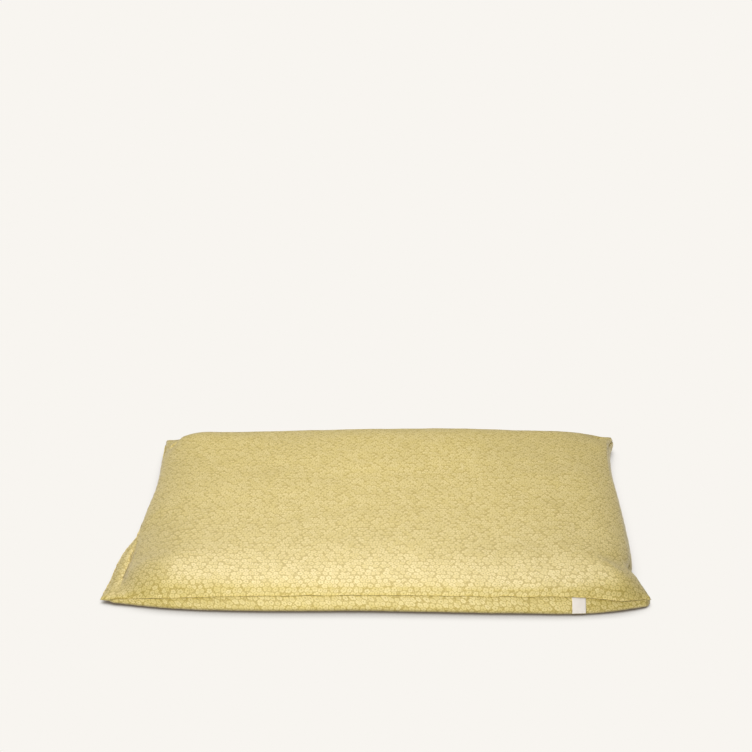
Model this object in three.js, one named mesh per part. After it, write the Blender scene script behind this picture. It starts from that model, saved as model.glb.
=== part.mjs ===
// A zabuton: a rectangular floor cushion in printed cotton, with a small label in its front seam.
// Millimetres, +Z up. The front is towards -Y. The origin is on the floor, under the middle of
// the whole piece, and the heights in the tables below are heights above the floor.

import * as THREE from 'three';
import { mergeVertices } from 'three/addons/utils/BufferGeometryUtils.js';

// The empty cover, measured from seam to seam, and the loft of its filling.
const COVER = { width: 900, depth: 700 };
const LOFT = { plateau: 56, crown: 7 };

// The tips of the four ears, once the filling has drawn them in. Here and in the tables below x and
// y are measured from the middle of the ears, and at the end the whole piece is moved to its origin.
const EARS = {
  frontLeft: { x: -440, y: -342, z: 6 },
  frontRight: { x: 440, y: -342, z: 10 },
  backLeft: { x: -440, y: 343, z: 10 },
  backRight: { x: 440, y: 343, z: 14 },
};

// The four sides, each from one ear to the next. along: share of the side. drawnIn: how far the
// seam lies inside the straight line between the ears. seam: its height. lip: width of the
// unfilled strip along it. reach: how far in the upper panel goes on rising. softness: 1 for a
// full round edge, more for a slack one. belly: how far the lower panel swells past the seam.
// foot: how far inside the seam it meets the floor.
const SIDES = {
  front: {
    ends: ['frontLeft', 'frontRight'],
    rows: [
      { along: 0.00, drawnIn: 0, seam: 6, lip: 6, reach: 45, softness: 1.8, belly: 2, foot: 18 },
      { along: 0.05, drawnIn: -5, seam: 9, lip: 2, reach: 60, softness: 1.2, belly: 5, foot: 9 },
      { along: 0.12, drawnIn: -13, seam: 15, lip: 0, reach: 80, softness: 1.1, belly: 8, foot: 2 },
      { along: 0.25, drawnIn: -20, seam: 22, lip: 0, reach: 95, softness: 1.0, belly: 9, foot: -1 },
      { along: 0.50, drawnIn: -20, seam: 25, lip: 0, reach: 105, softness: 1.0, belly: 9, foot: -1 },
      { along: 0.75, drawnIn: -24, seam: 25, lip: 0, reach: 105, softness: 1.0, belly: 10, foot: -3 },
      { along: 0.88, drawnIn: -22, seam: 23, lip: 0, reach: 85, softness: 1.0, belly: 10, foot: -4 },
      { along: 0.95, drawnIn: -15, seam: 13, lip: 0, reach: 55, softness: 1.0, belly: 9, foot: 5 },
      { along: 1.00, drawnIn: 0, seam: 10, lip: 0, reach: 38, softness: 0.9, belly: 6, foot: 1 },
    ],
  },
  back: {
    ends: ['backLeft', 'backRight'],
    rows: [
      { along: 0.00, drawnIn: 0, seam: 10, lip: 6, reach: 60, softness: 1.4, belly: 1, foot: 24 },
      { along: 0.07, drawnIn: 4, seam: 13.5, lip: 3, reach: 70, softness: 1.2, belly: 4, foot: 18 },
      { along: 0.20, drawnIn: 7, seam: 22, lip: 0, reach: 90, softness: 1.1, belly: 7, foot: 8 },
      { along: 0.50, drawnIn: 8, seam: 28, lip: 0, reach: 100, softness: 1.0, belly: 8, foot: 4 },
      { along: 0.80, drawnIn: 6, seam: 24.5, lip: 0, reach: 110, softness: 1.0, belly: 8, foot: 4 },
      { along: 0.93, drawnIn: 3, seam: 20, lip: 2, reach: 110, softness: 1.1, belly: 5, foot: 12 },
      { along: 1.00, drawnIn: 0, seam: 14, lip: 5, reach: 70, softness: 1.2, belly: 1, foot: 22 },
    ],
  },
  left: {
    ends: ['frontLeft', 'backLeft'],
    rows: [
      { along: 0.00, drawnIn: 0, seam: 6, lip: 24, reach: 54, softness: 1.5, belly: 2, foot: 20 },
      { along: 0.08, drawnIn: 6, seam: 8, lip: 22, reach: 95, softness: 1.5, belly: 2, foot: 20 },
      { along: 0.18, drawnIn: 8, seam: 11, lip: 20, reach: 125, softness: 1.6, belly: 3, foot: 16 },
      { along: 0.27, drawnIn: 15.5, seam: 14, lip: 12, reach: 125, softness: 1.6, belly: 4, foot: 12 },
      { along: 0.31, drawnIn: 22.5, seam: 15.7, lip: 7, reach: 120, softness: 1.6, belly: 4.3, foot: 10.5 },
      { along: 0.40, drawnIn: 25, seam: 19, lip: 2, reach: 105, softness: 1.3, belly: 5, foot: 8 },
      { along: 0.60, drawnIn: 28, seam: 24, lip: 0, reach: 95, softness: 1.1, belly: 5, foot: 7 },
      { along: 0.80, drawnIn: 15.5, seam: 20, lip: 2, reach: 95, softness: 1.1, belly: 4, foot: 9 },
      { along: 0.93, drawnIn: 6.5, seam: 15, lip: 10, reach: 80, softness: 1.2, belly: 3, foot: 16 },
      { along: 1.00, drawnIn: 0, seam: 10, lip: 16, reach: 60, softness: 1.4, belly: 1, foot: 24 },
    ],
  },
  right: {
    ends: ['frontRight', 'backRight'],
    rows: [
      { along: 0.00, drawnIn: 0, seam: 10, lip: 0, reach: 40, softness: 0.9, belly: 4, foot: 3 },
      { along: 0.06, drawnIn: 17, seam: 14, lip: 0, reach: 55, softness: 1.0, belly: 5, foot: 8 },
      { along: 0.11, drawnIn: 30.5, seam: 18.5, lip: 0, reach: 70, softness: 1.0, belly: 6.5, foot: 7 },
      { along: 0.16, drawnIn: 25, seam: 22, lip: 0, reach: 77, softness: 1.0, belly: 7, foot: 6 },
      { along: 0.25, drawnIn: 23, seam: 26, lip: 0, reach: 80, softness: 1.0, belly: 8, foot: 4 },
      { along: 0.50, drawnIn: 22, seam: 28, lip: 0, reach: 85, softness: 1.0, belly: 8, foot: 4 },
      { along: 0.75, drawnIn: 23, seam: 28, lip: 0, reach: 100, softness: 1.0, belly: 8, foot: 4 },
      { along: 0.90, drawnIn: 14.5, seam: 24, lip: 0, reach: 130, softness: 1.0, belly: 7, foot: 6 },
      { along: 0.97, drawnIn: 1, seam: 18, lip: 3, reach: 90, softness: 1.1, belly: 3, foot: 14 },
      { along: 1.00, drawnIn: 0, seam: 14, lip: 5, reach: 70, softness: 1.2, belly: 1, foot: 22 },
    ],
  },
};

// Soft hollows and swells in the hand-laid filling, each round and fading out at its radius.
const SWELLS = [
  { x: -250, y: 210, radius: 260, height: -6.5 },
  { x: 330, y: 240, radius: 220, height: -9 },
  { x: 130, y: 230, radius: 200, height: 3 },
  { x: 60, y: -240, radius: 300, height: 2 },
  { x: -230, y: -190, radius: 170, height: 1.5 },
  { x: 300, y: -150, radius: 180, height: 1.5 },
];

// Creases of the upper panel: troughs from one point to another, deepest halfway. width: from the
// bottom of the trough to its rim. depth: as a share of the thickness there.
const CREASES = [
  { name: 'valley by the front left ear', x0: -413, y0: -335, x1: -411, y1: -115, width: 7, depth: 0.2 },
  { name: 'fold across the back left ear', x0: -402, y0: 335, x1: -416, y1: 225, width: 10, depth: 0.25 },
  { name: 'pull into the front right ear', x0: 366, y0: -250, x1: 432, y1: -342, width: 26, depth: 0.06 },
  { name: 'tuck by the back right ear', x0: 384, y0: 296, x1: 440, y1: 334, width: 22, depth: 0.2 },
];

// The label: a folded strip of white tape that hangs from the front seam. along: share of that seam
// at its middle. lift: how far its lower end is off the floor. clearance: its gap to the cushion.
const LABEL = { along: 0.868, width: 22, thickness: 1.2, lift: 3.4, clearance: 0.3 };

// Steps of the mesh, closer together near the seam than in the middle.
const STEPS = { across: 48, along: 40, grading: 0.85 };
const LABEL_STEPS = { across: 4, over: 8, drop: 3, turns: 90 };

// Where the cover is unfilled it still rises a little within this distance of its seam.
const SKIN = { rise: 5, width: 16 };

// How full the belly is: at a third of the seam's height it is out by nearly all of its width.
const BULGE = 1.2;

// Cloth of the lower panel that would be less than this far off the floor is pressed flat on it.
const PRESSED_FLAT = 0.6;

// Values of one side at a share of its length, read off its table along a smooth curve.
const COLUMNS = ['drawnIn', 'seam', 'lip', 'reach', 'softness', 'belly', 'foot'];
const curves = {};
for (const [name, side] of Object.entries(SIDES)) {
  const shares = side.rows.map((row) => row.along);
  const values = side.rows.flatMap((row) => COLUMNS.map((column) => row[column]));
  curves[name] = new THREE.CubicInterpolant(shares, values, COLUMNS.length);
}

function sideAt(name, along) {
  const values = curves[name].evaluate(along);
  return Object.fromEntries(COLUMNS.map((column, i) => [column, values[i]]));
}

const INWARD = { front: [0, 1], back: [0, -1], left: [1, 0], right: [-1, 0] };

function ear(name) {
  const { x, y, z } = EARS[name];
  return new THREE.Vector3(x, y, z);
}

// The seam line of one side.
function seamPoint(name, along) {
  const [from, to] = SIDES[name].ends;
  const { drawnIn, seam } = sideAt(name, along);
  const point = ear(from).lerp(ear(to), along);
  const [inX, inY] = INWARD[name];
  return point.set(point.x + inX * drawnIn, point.y + inY * drawnIn, seam);
}

// The sheet stretched across the seam loop, for shares u to the right and v to the back.
function stretched(u, v) {
  const sheet = seamPoint('front', u).multiplyScalar(1 - v);
  sheet.addScaledVector(seamPoint('back', u), v);
  sheet.addScaledVector(seamPoint('left', v), 1 - u);
  sheet.addScaledVector(seamPoint('right', v), u);
  sheet.addScaledVector(ear('frontLeft'), -(1 - u) * (1 - v));
  sheet.addScaledVector(ear('frontRight'), -u * (1 - v));
  sheet.addScaledVector(ear('backLeft'), -(1 - u) * v);
  sheet.addScaledVector(ear('backRight'), -u * v);
  return sheet;
}

// Length of a quarter turn with the given half-axes.
function quarterArc(a, b) {
  return (Math.PI / 2) * Math.sqrt((a * a + b * b) / 2);
}

// Cloth distance from each of the four seams, and the share of that side it belongs to.
function fromSeams(s, t) {
  return {
    left: { distance: s * COVER.width, along: t },
    right: { distance: (1 - s) * COVER.width, along: t },
    front: { distance: t * COVER.depth, along: s },
    back: { distance: (1 - t) * COVER.depth, along: s },
  };
}

// The upper panel beside one seam: how far inside the seam a point of the cloth lies, its share of
// the full rise, and how far the cloth swells out past the seam.
function upperRoll(name, { distance, along }) {
  const { seam, lip, reach, softness } = sideAt(name, along);
  const past = Math.max(distance - lip, 0);
  const length = quarterArc(reach, LOFT.plateau - seam);
  const turn = Math.min(past / length, 1) * (Math.PI / 2);
  const inset = Math.min(distance, lip) + reach * (1 - Math.cos(turn)) + Math.max(past - length, 0);
  return { inset, share: Math.sin(turn) ** softness, swell: 0 };
}

// How far the belly is out past the seam, after turning from the seam (0) to its foot (pi).
function bulge(belly, turn) {
  return BULGE * belly * Math.sin(turn) * Math.sin(turn / 2);
}

// The share of the lower panel's full drop after such a turn.
function dropShare(turn) {
  return (1 - Math.cos(turn)) / 2;
}

// The lower panel beside one seam: it swells outwards and turns under to its foot on the floor, with
// its share of the full drop.
function lowerRoll(name, { distance, along }) {
  const { seam, belly, foot } = sideAt(name, along);
  const length = quarterArc(belly, seam / 2) + quarterArc(belly + foot, seam / 2);
  const turn = Math.min(distance / length, 1) * Math.PI;
  const share = dropShare(turn);
  const inset = foot * share * share + Math.max(distance - length, 0);
  return { inset, share, swell: bulge(belly, turn) };
}

// A bell that is 1 at 0 and fades to 0 at 1.
function bell(x) {
  return Math.abs(x) < 1 ? (0.5 + 0.5 * Math.cos(Math.PI * x)) : 0;
}

function swellAt(x, y) {
  let height = 0;
  for (const swell of SWELLS) {
    height += swell.height * bell(Math.hypot(x - swell.x, y - swell.y) / swell.radius);
  }
  return height;
}

function creaseAt(x, y) {
  let depth = 0;
  for (const { x0, y0, x1, y1, width, depth: deepest } of CREASES) {
    const length = Math.hypot(x1 - x0, y1 - y0);
    const [dx, dy] = [(x1 - x0) / length, (y1 - y0) / length];
    const along = (x - x0) * dx + (y - y0) * dy;
    const aside = (x - x0) * dy - (y - y0) * dx;
    depth += deepest * bell(aside / width) * bell((2 * along) / length - 1);
  }
  return depth;
}

// A point of one panel, still at the height of the seams, and its share of the panel's full rise
// or drop. On each seam both panels keep the same points, so that they are sewn point to point.
function rolledPoint(s, t, roll) {
  const { left, right, front, back } = Object.fromEntries(
    Object.entries(fromSeams(s, t)).map(([name, place]) => [name, roll(name, place)]));
  const across = left.share * right.share;
  const along = front.share * back.share;
  const u = THREE.MathUtils.lerp(s, left.inset / (left.inset + right.inset), along);
  const v = THREE.MathUtils.lerp(t, front.inset / (front.inset + back.inset), across);
  const point = stretched(u, v);
  point.x += (right.swell - left.swell) * along;
  point.y += (back.swell - front.swell) * across;
  return { point, share: across * along };
}

function upperPoint(s, t) {
  const { point, share } = rolledPoint(s, t, upperRoll);
  const middle = 16 * s * (1 - s) * t * (1 - t);
  const loft = LOFT.plateau + LOFT.crown * middle + swellAt(point.x, point.y);
  const open = Math.min(...Object.values(fromSeams(s, t)).map(({ distance }) => distance));
  const inside = Math.sin((Math.PI / 2) * Math.min(open / SKIN.width, 1));
  point.z = THREE.MathUtils.lerp(point.z + SKIN.rise * inside, loft, share);
  point.z *= 1 - creaseAt(point.x, point.y) * inside;
  return point;
}

function lowerPoint(s, t) {
  const { point, share } = rolledPoint(s, t, lowerRoll);
  point.z *= 1 - share;
  if (point.z < PRESSED_FLAT) point.z = 0;
  return point;
}

// Shares of a side at which the mesh has points, closer together near both seams.
function spread(steps) {
  return Array.from({ length: steps + 1 }, (_, i) => {
    const even = i / steps;
    const eased = 0.5 - 0.5 * Math.cos(Math.PI * even);
    return STEPS.grading * eased + (1 - STEPS.grading) * even;
  });
}

// A closed solid between two sheets of points with the same rows and columns. Sheets that share
// their rim are sewn there, and others are joined by a wall.
function closedSolid(upper, lower) {
  const rows = upper.length - 1;
  const columns = upper[0].length - 1;
  const points = [...upper, ...lower].flat();
  const at = (sheet, i, j) => (sheet * (rows + 1) + i) * (columns + 1) + j;
  const triangles = [];
  const quad = (a, b, c, d) => triangles.push([a, b, c], [a, c, d]);

  for (let i = 0; i < rows; i += 1) {
    for (let j = 0; j < columns; j += 1) {
      // Each cell is cut along the diagonal that points at the nearest ear.
      const corners = [[i, j], [i + 1, j], [i + 1, j + 1], [i, j + 1]];
      if ((i < rows / 2) !== (j < columns / 2)) corners.push(corners.shift());
      const [a, b, c, d] = corners;
      quad(at(0, ...a), at(0, ...b), at(0, ...c), at(0, ...d));
      quad(at(1, ...a), at(1, ...d), at(1, ...c), at(1, ...b));
    }
  }

  const rim = [];
  for (let i = 0; i < rows; i += 1) rim.push([i, 0]);
  for (let j = 0; j < columns; j += 1) rim.push([rows, j]);
  for (let i = rows; i > 0; i -= 1) rim.push([i, columns]);
  for (let j = columns; j > 0; j -= 1) rim.push([0, j]);
  rim.forEach((here, k) => {
    const next = rim[(k + 1) % rim.length];
    quad(at(1, ...here), at(1, ...next), at(0, ...next), at(0, ...here));
  });

  const geometry = new THREE.BufferGeometry().setFromPoints(points);
  geometry.setIndex(triangles.flat());
  const sewn = mergeVertices(geometry);
  const merged = sewn.getIndex().array;
  const kept = [];
  for (let k = 0; k < merged.length; k += 3) {
    const [a, b, c] = merged.slice(k, k + 3);
    if (a !== b && b !== c && c !== a) kept.push(a, b, c);
  }
  sewn.setIndex(kept);
  sewn.computeVertexNormals();
  return sewn;
}

function makePad() {
  const across = spread(STEPS.across);
  const along = spread(STEPS.along);
  const upper = across.map((s) => along.map((t) => upperPoint(s, t)));
  const lower = across.map((s) => along.map((t) => lowerPoint(s, t)));
  const cotton = new THREE.MeshStandardMaterial({ color: 0xd9c88a, roughness: 0.9, metalness: 0 });
  const pad = new THREE.Mesh(closedSolid(upper, lower), cotton);
  pad.name = 'pad';
  return pad;
}

// How far the lower panel of one side is out past its seam after turning from it.
function outAt({ belly, foot }, turn) {
  return bulge(belly, turn) - foot * dropShare(turn) ** 2;
}

// One face of the label at a distance off the cushion: over the belly as far as its widest place,
// then straight down.
function labelFace(offset) {
  const side = sideAt('front', LABEL.along);
  const turns = Array.from({ length: LABEL_STEPS.turns }, (_, i) => (i / LABEL_STEPS.turns) * Math.PI);
  const widest = turns.reduce((best, turn) => (outAt(side, turn) > outAt(side, best) ? turn : best));
  const start = LABEL.along - LABEL.width / COVER.width / 2;
  const columns = Array.from({ length: LABEL_STEPS.across + 1 }, (_, i) => (
    seamPoint('front', start + (i / LABEL_STEPS.across) * (LABEL.width / COVER.width))));
  return columns.map((sewnIn) => {
    const face = [];
    const bend = sewnIn.z * (1 - dropShare(widest));
    const out = sewnIn.y - LABEL.clearance - outAt(side, widest) - offset;
    for (let k = LABEL_STEPS.drop; k > 0; k -= 1) {
      const drop = ((bend - LABEL.lift) * k) / LABEL_STEPS.drop;
      face.push(new THREE.Vector3(sewnIn.x, out, bend - drop));
    }
    for (let k = LABEL_STEPS.over; k >= 0; k -= 1) {
      const turn = widest * (k / LABEL_STEPS.over);
      const half = Math.cos(turn / 2);
      const rise = BULGE * side.belly * (Math.cos(turn) + half ** 2) - 2 * side.foot * dropShare(turn) * half;
      const normal = new THREE.Vector2(-side.seam * half, rise).normalize();
      const y = sewnIn.y - LABEL.clearance - outAt(side, turn) + normal.x * offset;
      const z = sewnIn.z * (1 - dropShare(turn)) + normal.y * offset;
      face.push(new THREE.Vector3(sewnIn.x, y, z));
    }
    return face;
  });
}

function makeLabel() {
  const outside = labelFace(LABEL.clearance + LABEL.thickness);
  const inside = labelFace(LABEL.clearance);
  const tape = new THREE.MeshStandardMaterial({ color: 0xf1ebe2, roughness: 0.75, metalness: 0 });
  const label = new THREE.Mesh(closedSolid(outside, inside), tape);
  label.name = 'label';
  return label;
}

const zabuton = new THREE.Group();
zabuton.add(makePad(), makeLabel());

const box = new THREE.Box3().setFromObject(zabuton);
const middle = box.getCenter(new THREE.Vector3());
zabuton.position.set(-middle.x, -middle.y, -box.min.z);

export default zabuton;
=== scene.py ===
"""A zabuton in small-blossom cotton, with a bare label in its front seam, on a pale studio floor.

Lengths in the tables are millimetres, everything handed to Blender is metres. The cushion is two
panels of cloth, the upper and the lower one, sewn to each other all round. A place on a panel is
(s, t): s is its share of the cover's width from the left, t its share of the depth from the front.
"""
import math

import bpy
import numpy as np
from mathutils import Matrix, Vector


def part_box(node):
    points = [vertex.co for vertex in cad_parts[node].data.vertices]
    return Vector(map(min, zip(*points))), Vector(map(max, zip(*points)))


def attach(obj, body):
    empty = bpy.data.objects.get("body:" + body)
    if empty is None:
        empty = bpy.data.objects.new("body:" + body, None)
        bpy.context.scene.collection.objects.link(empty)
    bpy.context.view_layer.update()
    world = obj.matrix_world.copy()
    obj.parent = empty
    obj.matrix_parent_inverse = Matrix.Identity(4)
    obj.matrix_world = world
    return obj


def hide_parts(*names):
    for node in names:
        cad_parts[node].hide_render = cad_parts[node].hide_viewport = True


MM = 0.001
SEED = 41
TINY = 1e-9
LEAST_WEIGHT = 1e-6

# The form of the cushion, as it is in the part's source. A side's table has rows at shares along it:
# how far its seam is drawn in and how high it runs, how wide the upper panel's flat lip is, how far
# in and how softly that panel rises, and how far out the lower panel bellies and in its foot lies.
COVER = {"width": 900, "depth": 700}
LOFT = {"plateau": 56, "crown": 7}
EARS = {
    "front_left": (-440, -342, 6),
    "front_right": (440, -342, 10),
    "back_left": (-440, 343, 10),
    "back_right": (440, 343, 14),
}
COLUMNS = ("along", "drawn_in", "seam", "lip", "reach", "softness", "belly", "foot")
SIDES = {
    "front": (
        (0.00, 0, 6, 6, 45, 1.8, 2, 18),
        (0.05, -5, 9, 2, 60, 1.2, 5, 9),
        (0.12, -13, 15, 0, 80, 1.1, 8, 2),
        (0.25, -20, 22, 0, 95, 1.0, 9, -1),
        (0.50, -20, 25, 0, 105, 1.0, 9, -1),
        (0.75, -24, 25, 0, 105, 1.0, 10, -3),
        (0.88, -22, 23, 0, 85, 1.0, 10, -4),
        (0.95, -15, 13, 0, 55, 1.0, 9, 5),
        (1.00, 0, 10, 0, 38, 0.9, 6, 1),
    ),
    "back": (
        (0.00, 0, 10, 6, 60, 1.4, 1, 24),
        (0.07, 4, 13.5, 3, 70, 1.2, 4, 18),
        (0.20, 7, 22, 0, 90, 1.1, 7, 8),
        (0.50, 8, 28, 0, 100, 1.0, 8, 4),
        (0.80, 6, 24.5, 0, 110, 1.0, 8, 4),
        (0.93, 3, 20, 2, 110, 1.1, 5, 12),
        (1.00, 0, 14, 5, 70, 1.2, 1, 22),
    ),
    "left": (
        (0.00, 0, 6, 24, 54, 1.5, 2, 20),
        (0.08, 6, 8, 22, 95, 1.5, 2, 20),
        (0.18, 8, 11, 20, 125, 1.6, 3, 16),
        (0.27, 15.5, 14, 12, 125, 1.6, 4, 12),
        (0.31, 22.5, 15.7, 7, 120, 1.6, 4.3, 10.5),
        (0.40, 25, 19, 2, 105, 1.3, 5, 8),
        (0.60, 28, 24, 0, 95, 1.1, 5, 7),
        (0.80, 15.5, 20, 2, 95, 1.1, 4, 9),
        (0.93, 6.5, 15, 10, 80, 1.2, 3, 16),
        (1.00, 0, 10, 16, 60, 1.4, 1, 24),
    ),
    "right": (
        (0.00, 0, 10, 0, 40, 0.9, 4, 3),
        (0.06, 17, 14, 0, 55, 1.0, 5, 8),
        (0.11, 30.5, 18.5, 0, 70, 1.0, 6.5, 7),
        (0.16, 25, 22, 0, 77, 1.0, 7, 6),
        (0.25, 23, 26, 0, 80, 1.0, 8, 4),
        (0.50, 22, 28, 0, 85, 1.0, 8, 4),
        (0.75, 23, 28, 0, 100, 1.0, 8, 4),
        (0.90, 14.5, 24, 0, 130, 1.0, 7, 6),
        (0.97, 1, 18, 3, 90, 1.1, 3, 14),
        (1.00, 0, 14, 5, 70, 1.2, 1, 22),
    ),
}
ENDS = {
    "front": ("front_left", "front_right"),
    "back": ("back_left", "back_right"),
    "left": ("front_left", "back_left"),
    "right": ("front_right", "back_right"),
}
INWARD = {"front": (0, 1), "back": (0, -1), "left": (1, 0), "right": (-1, 0)}

# Soft hollows and swells in the hand-laid filling, each round and fading out at its radius.
SWELLS = (
    {"at": (-250, 210), "radius": 260, "height": -6.5},
    {"at": (330, 240), "radius": 220, "height": -9},
    {"at": (130, 230), "radius": 200, "height": 3},
    {"at": (60, -240), "radius": 300, "height": 2},
    {"at": (-230, -190), "radius": 170, "height": 1.5},
    {"at": (300, -150), "radius": 180, "height": 1.5},
)

# Creases of the upper panel: both ends of the trough, its width from the bottom to the rim, and its
# depth as a share of the height there.
CREASES = {
    "valley by the front left ear": ((-413, -335), (-411, -115), 7, 0.2),
    "fold across the back left ear": ((-402, 335), (-416, 225), 10, 0.25),
    "pull into the front right ear": ((366, -250), (432, -342), 26, 0.06),
    "tuck by the back right ear": ((384, 296), (440, 334), 22, 0.2),
}

# Where the cover is unfilled it still rises a little within this distance of its seam.
SKIN = {"rise": 5, "width": 16}

# How full the belly is, and where the label hangs from the front seam.
BULGE = 1.2
LABEL = {"along": 0.868, "width": 22, "lift": 3.4}

# Steps of the visible panels: rows at these distances from the seam in mm, then even ones.
NEAR_SEAM = (0.0, 0.4, 0.8, 1.2, 1.7, 2.3, 3.1, 4.2, 5.8, 8.0, 11.0, 14.5)
FINE = {"across": 236, "along": 180}

# The seam lies in a groove and sways a little up and down, and the cloth ripples beside it.
GROOVE = {"depth": 2.3, "width": 1.5, "fade": 24}
SWAY = {"height": 0.5, "fade": 15, "lengths": (45, 70, 110)}
PUCKERS = {"height": 0.45, "fade": 20, "lengths": (14, 19, 27, 38)}
BENDS = (0.6, 1.4)

# The lumps of the filling: waves of these lengths, so many of each and brought to about 1 high.
LUMPS = {"height": 0.5, "lengths": (55, 80, 120, 170), "margin": 60, "of_each": 3, "peak": 1.6}

# The cloth simulation of the filled cover: how finely, how long and how hard it is blown up, the
# threads' stiffness, how much of its unevenness the visible panels keep, in mm, and below what
# height it lies on the floor. Unevenness is what is left between two amounts of smoothing, so that
# the form itself stays.
FILLING = {
    "across": 96,
    "along": 76,
    "frames": 20,
    "pressure": 0.5,
    "mass": 0.3,
    "quality": 6,
    "tension": 15,
    "bending": 40,
    "damping": 25,
    "smooth": 2,
    "form": 50,
    "kept": 0.7,
    "cap": 1.6,
    "held_below": 0.5,
}

# The thread that shows in the groove.
STITCH = {"pitch": 3.4, "length": 2.5, "radius": 0.24, "out": 0.12}

CAMERA = {
    "place": (0.1200, -2.7653, 1.2349),
    "yaw": -2.5827,
    "pitch": 19.1611,
    "roll": -0.9836,
    "focal_px": 1700,
    "picture_px": 752,
    "sensor_mm": 36,
}


def read_table(rows, column, along):
    """A column of a side's table at shares along, on a smooth curve through its rows."""
    table = np.array(rows, float)
    at, values = table[:, 0], table[:, COLUMNS.index(column)]
    last = len(at) - 1
    i1 = np.clip(np.searchsorted(at, along, side="right"), 1, last)
    i0 = i1 - 1
    before = np.where(i0 > 0, i0 - 1, i1)
    after = np.where(i1 < last, i1 + 1, i0)
    half = (at[i1] - at[i0]) / 2
    w0 = half / (at[i0] - at[before])
    w1 = half / (at[after] - at[i1])
    p = (along - at[i0]) / (at[i1] - at[i0])
    p2, p3 = p * p, p * p * p
    return (
        (-w0 * p3 + 2 * w0 * p2 - w0 * p) * values[before]
        + ((1 + w0) * p3 - (1.5 + 2 * w0) * p2 + (w0 - 0.5) * p + 1) * values[i0]
        + (-(1 + w1) * p3 + (1.5 + w1) * p2 + 0.5 * p) * values[i1]
        + (w1 * p3 - w1 * p2) * values[after]
    )


def side_at(name, along):
    """All of a side's values at shares along it."""
    return {c: read_table(SIDES[name], c, along) for c in COLUMNS[1:]}


def seam_point(name, along):
    """Points of one side's seam, for shares along it."""
    start, end = (np.array(EARS[e], float) for e in ENDS[name])
    side = side_at(name, along)
    in_x, in_y = INWARD[name]
    x = start[0] + (end[0] - start[0]) * along + in_x * side["drawn_in"]
    y = start[1] + (end[1] - start[1]) * along + in_y * side["drawn_in"]
    return np.stack([x, y, side["seam"]], axis=-1)


def stretched(u, v):
    """The sheet stretched across the seam loop, for shares u to the right and v to the back."""
    u1, v1 = u[..., None], v[..., None]
    ears = {name: np.array(place, float) for name, place in EARS.items()}
    return (
        seam_point("front", u) * (1 - v1)
        + seam_point("back", u) * v1
        + seam_point("left", v) * (1 - u1)
        + seam_point("right", v) * u1
        - ears["front_left"] * (1 - u1) * (1 - v1)
        - ears["front_right"] * u1 * (1 - v1)
        - ears["back_left"] * (1 - u1) * v1
        - ears["back_right"] * u1 * v1
    )


def quarter_arc(a, b):
    """Length of a quarter turn with the given half-axes."""
    return math.pi / 2 * np.sqrt((a * a + b * b) / 2)


def from_seams(s, t):
    """Cloth distance from each of the four seams, and the share of that side it belongs to."""
    return {
        "left": (s * COVER["width"], t),
        "right": ((1 - s) * COVER["width"], t),
        "front": (t * COVER["depth"], s),
        "back": ((1 - t) * COVER["depth"], s),
    }


def seam_distance(s, t):
    """Cloth distance from the nearest seam."""
    return np.minimum.reduce([distance for distance, _ in from_seams(s, t).values()])


def upper_roll(name, distance, along):
    """How far inside the seam the upper panel lies, its share of the rise, and its outward swell."""
    side = side_at(name, along)
    lip, reach = side["lip"], side["reach"]
    past = np.maximum(distance - lip, 0)
    length = quarter_arc(reach, LOFT["plateau"] - side["seam"])
    turn = np.minimum(past / length, 1) * math.pi / 2
    inset = np.minimum(distance, lip) + reach * (1 - np.cos(turn)) + np.maximum(past - length, 0)
    return inset, np.sin(turn) ** side["softness"], np.zeros_like(distance)


def lower_roll(name, distance, along):
    """The same for the lower panel, which swells outwards and turns under to its foot."""
    side = side_at(name, along)
    belly, foot, half = side["belly"], side["foot"], side["seam"] / 2
    length = quarter_arc(belly, half) + quarter_arc(belly + foot, half)
    turn = np.minimum(distance / length, 1) * math.pi
    share = (1 - np.cos(turn)) / 2
    inset = foot * share * share + np.maximum(distance - length, 0)
    return inset, share, BULGE * belly * np.sin(turn) * np.sin(turn / 2)


def bell(x):
    """1 at 0, fading to 0 at 1."""
    return np.where(np.abs(x) < 1, 0.5 + 0.5 * np.cos(math.pi * x), 0.0)


def swell_at(x, y):
    """How much higher the filling stands at places, or lower where it is negative."""
    height = np.zeros_like(x)
    for swell in SWELLS:
        away = np.hypot(x - swell["at"][0], y - swell["at"][1])
        height += swell["height"] * bell(away / swell["radius"])
    return height


def crease_at(x, y):
    """The creases' depth at places, as a share of the height there."""
    depth = np.zeros_like(x)
    for (x0, y0), (x1, y1), width, deepest in CREASES.values():
        length = math.hypot(x1 - x0, y1 - y0)
        dx, dy = (x1 - x0) / length, (y1 - y0) / length
        along = (x - x0) * dx + (y - y0) * dy
        aside = (x - x0) * dy - (y - y0) * dx
        depth += deepest * bell(aside / width) * bell(2 * along / length - 1)
    return depth


def rolled_points(s, t, roll):
    """Points of one panel, still at the height of the seams, and their shares of the rise or drop."""
    rolls = {name: roll(name, *place) for name, place in from_seams(s, t).items()}
    (left, left_share, left_swell), (right, right_share, right_swell) = rolls["left"], rolls["right"]
    (front, front_share, front_swell), (back, back_share, back_swell) = rolls["front"], rolls["back"]
    across, along = left_share * right_share, front_share * back_share
    u = s + (left / (left + right) - s) * along
    v = t + (front / (front + back) - t) * across
    points = stretched(u, v)
    points[..., 0] += (right_swell - left_swell) * along
    points[..., 1] += (back_swell - front_swell) * across
    return points, across * along


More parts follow.
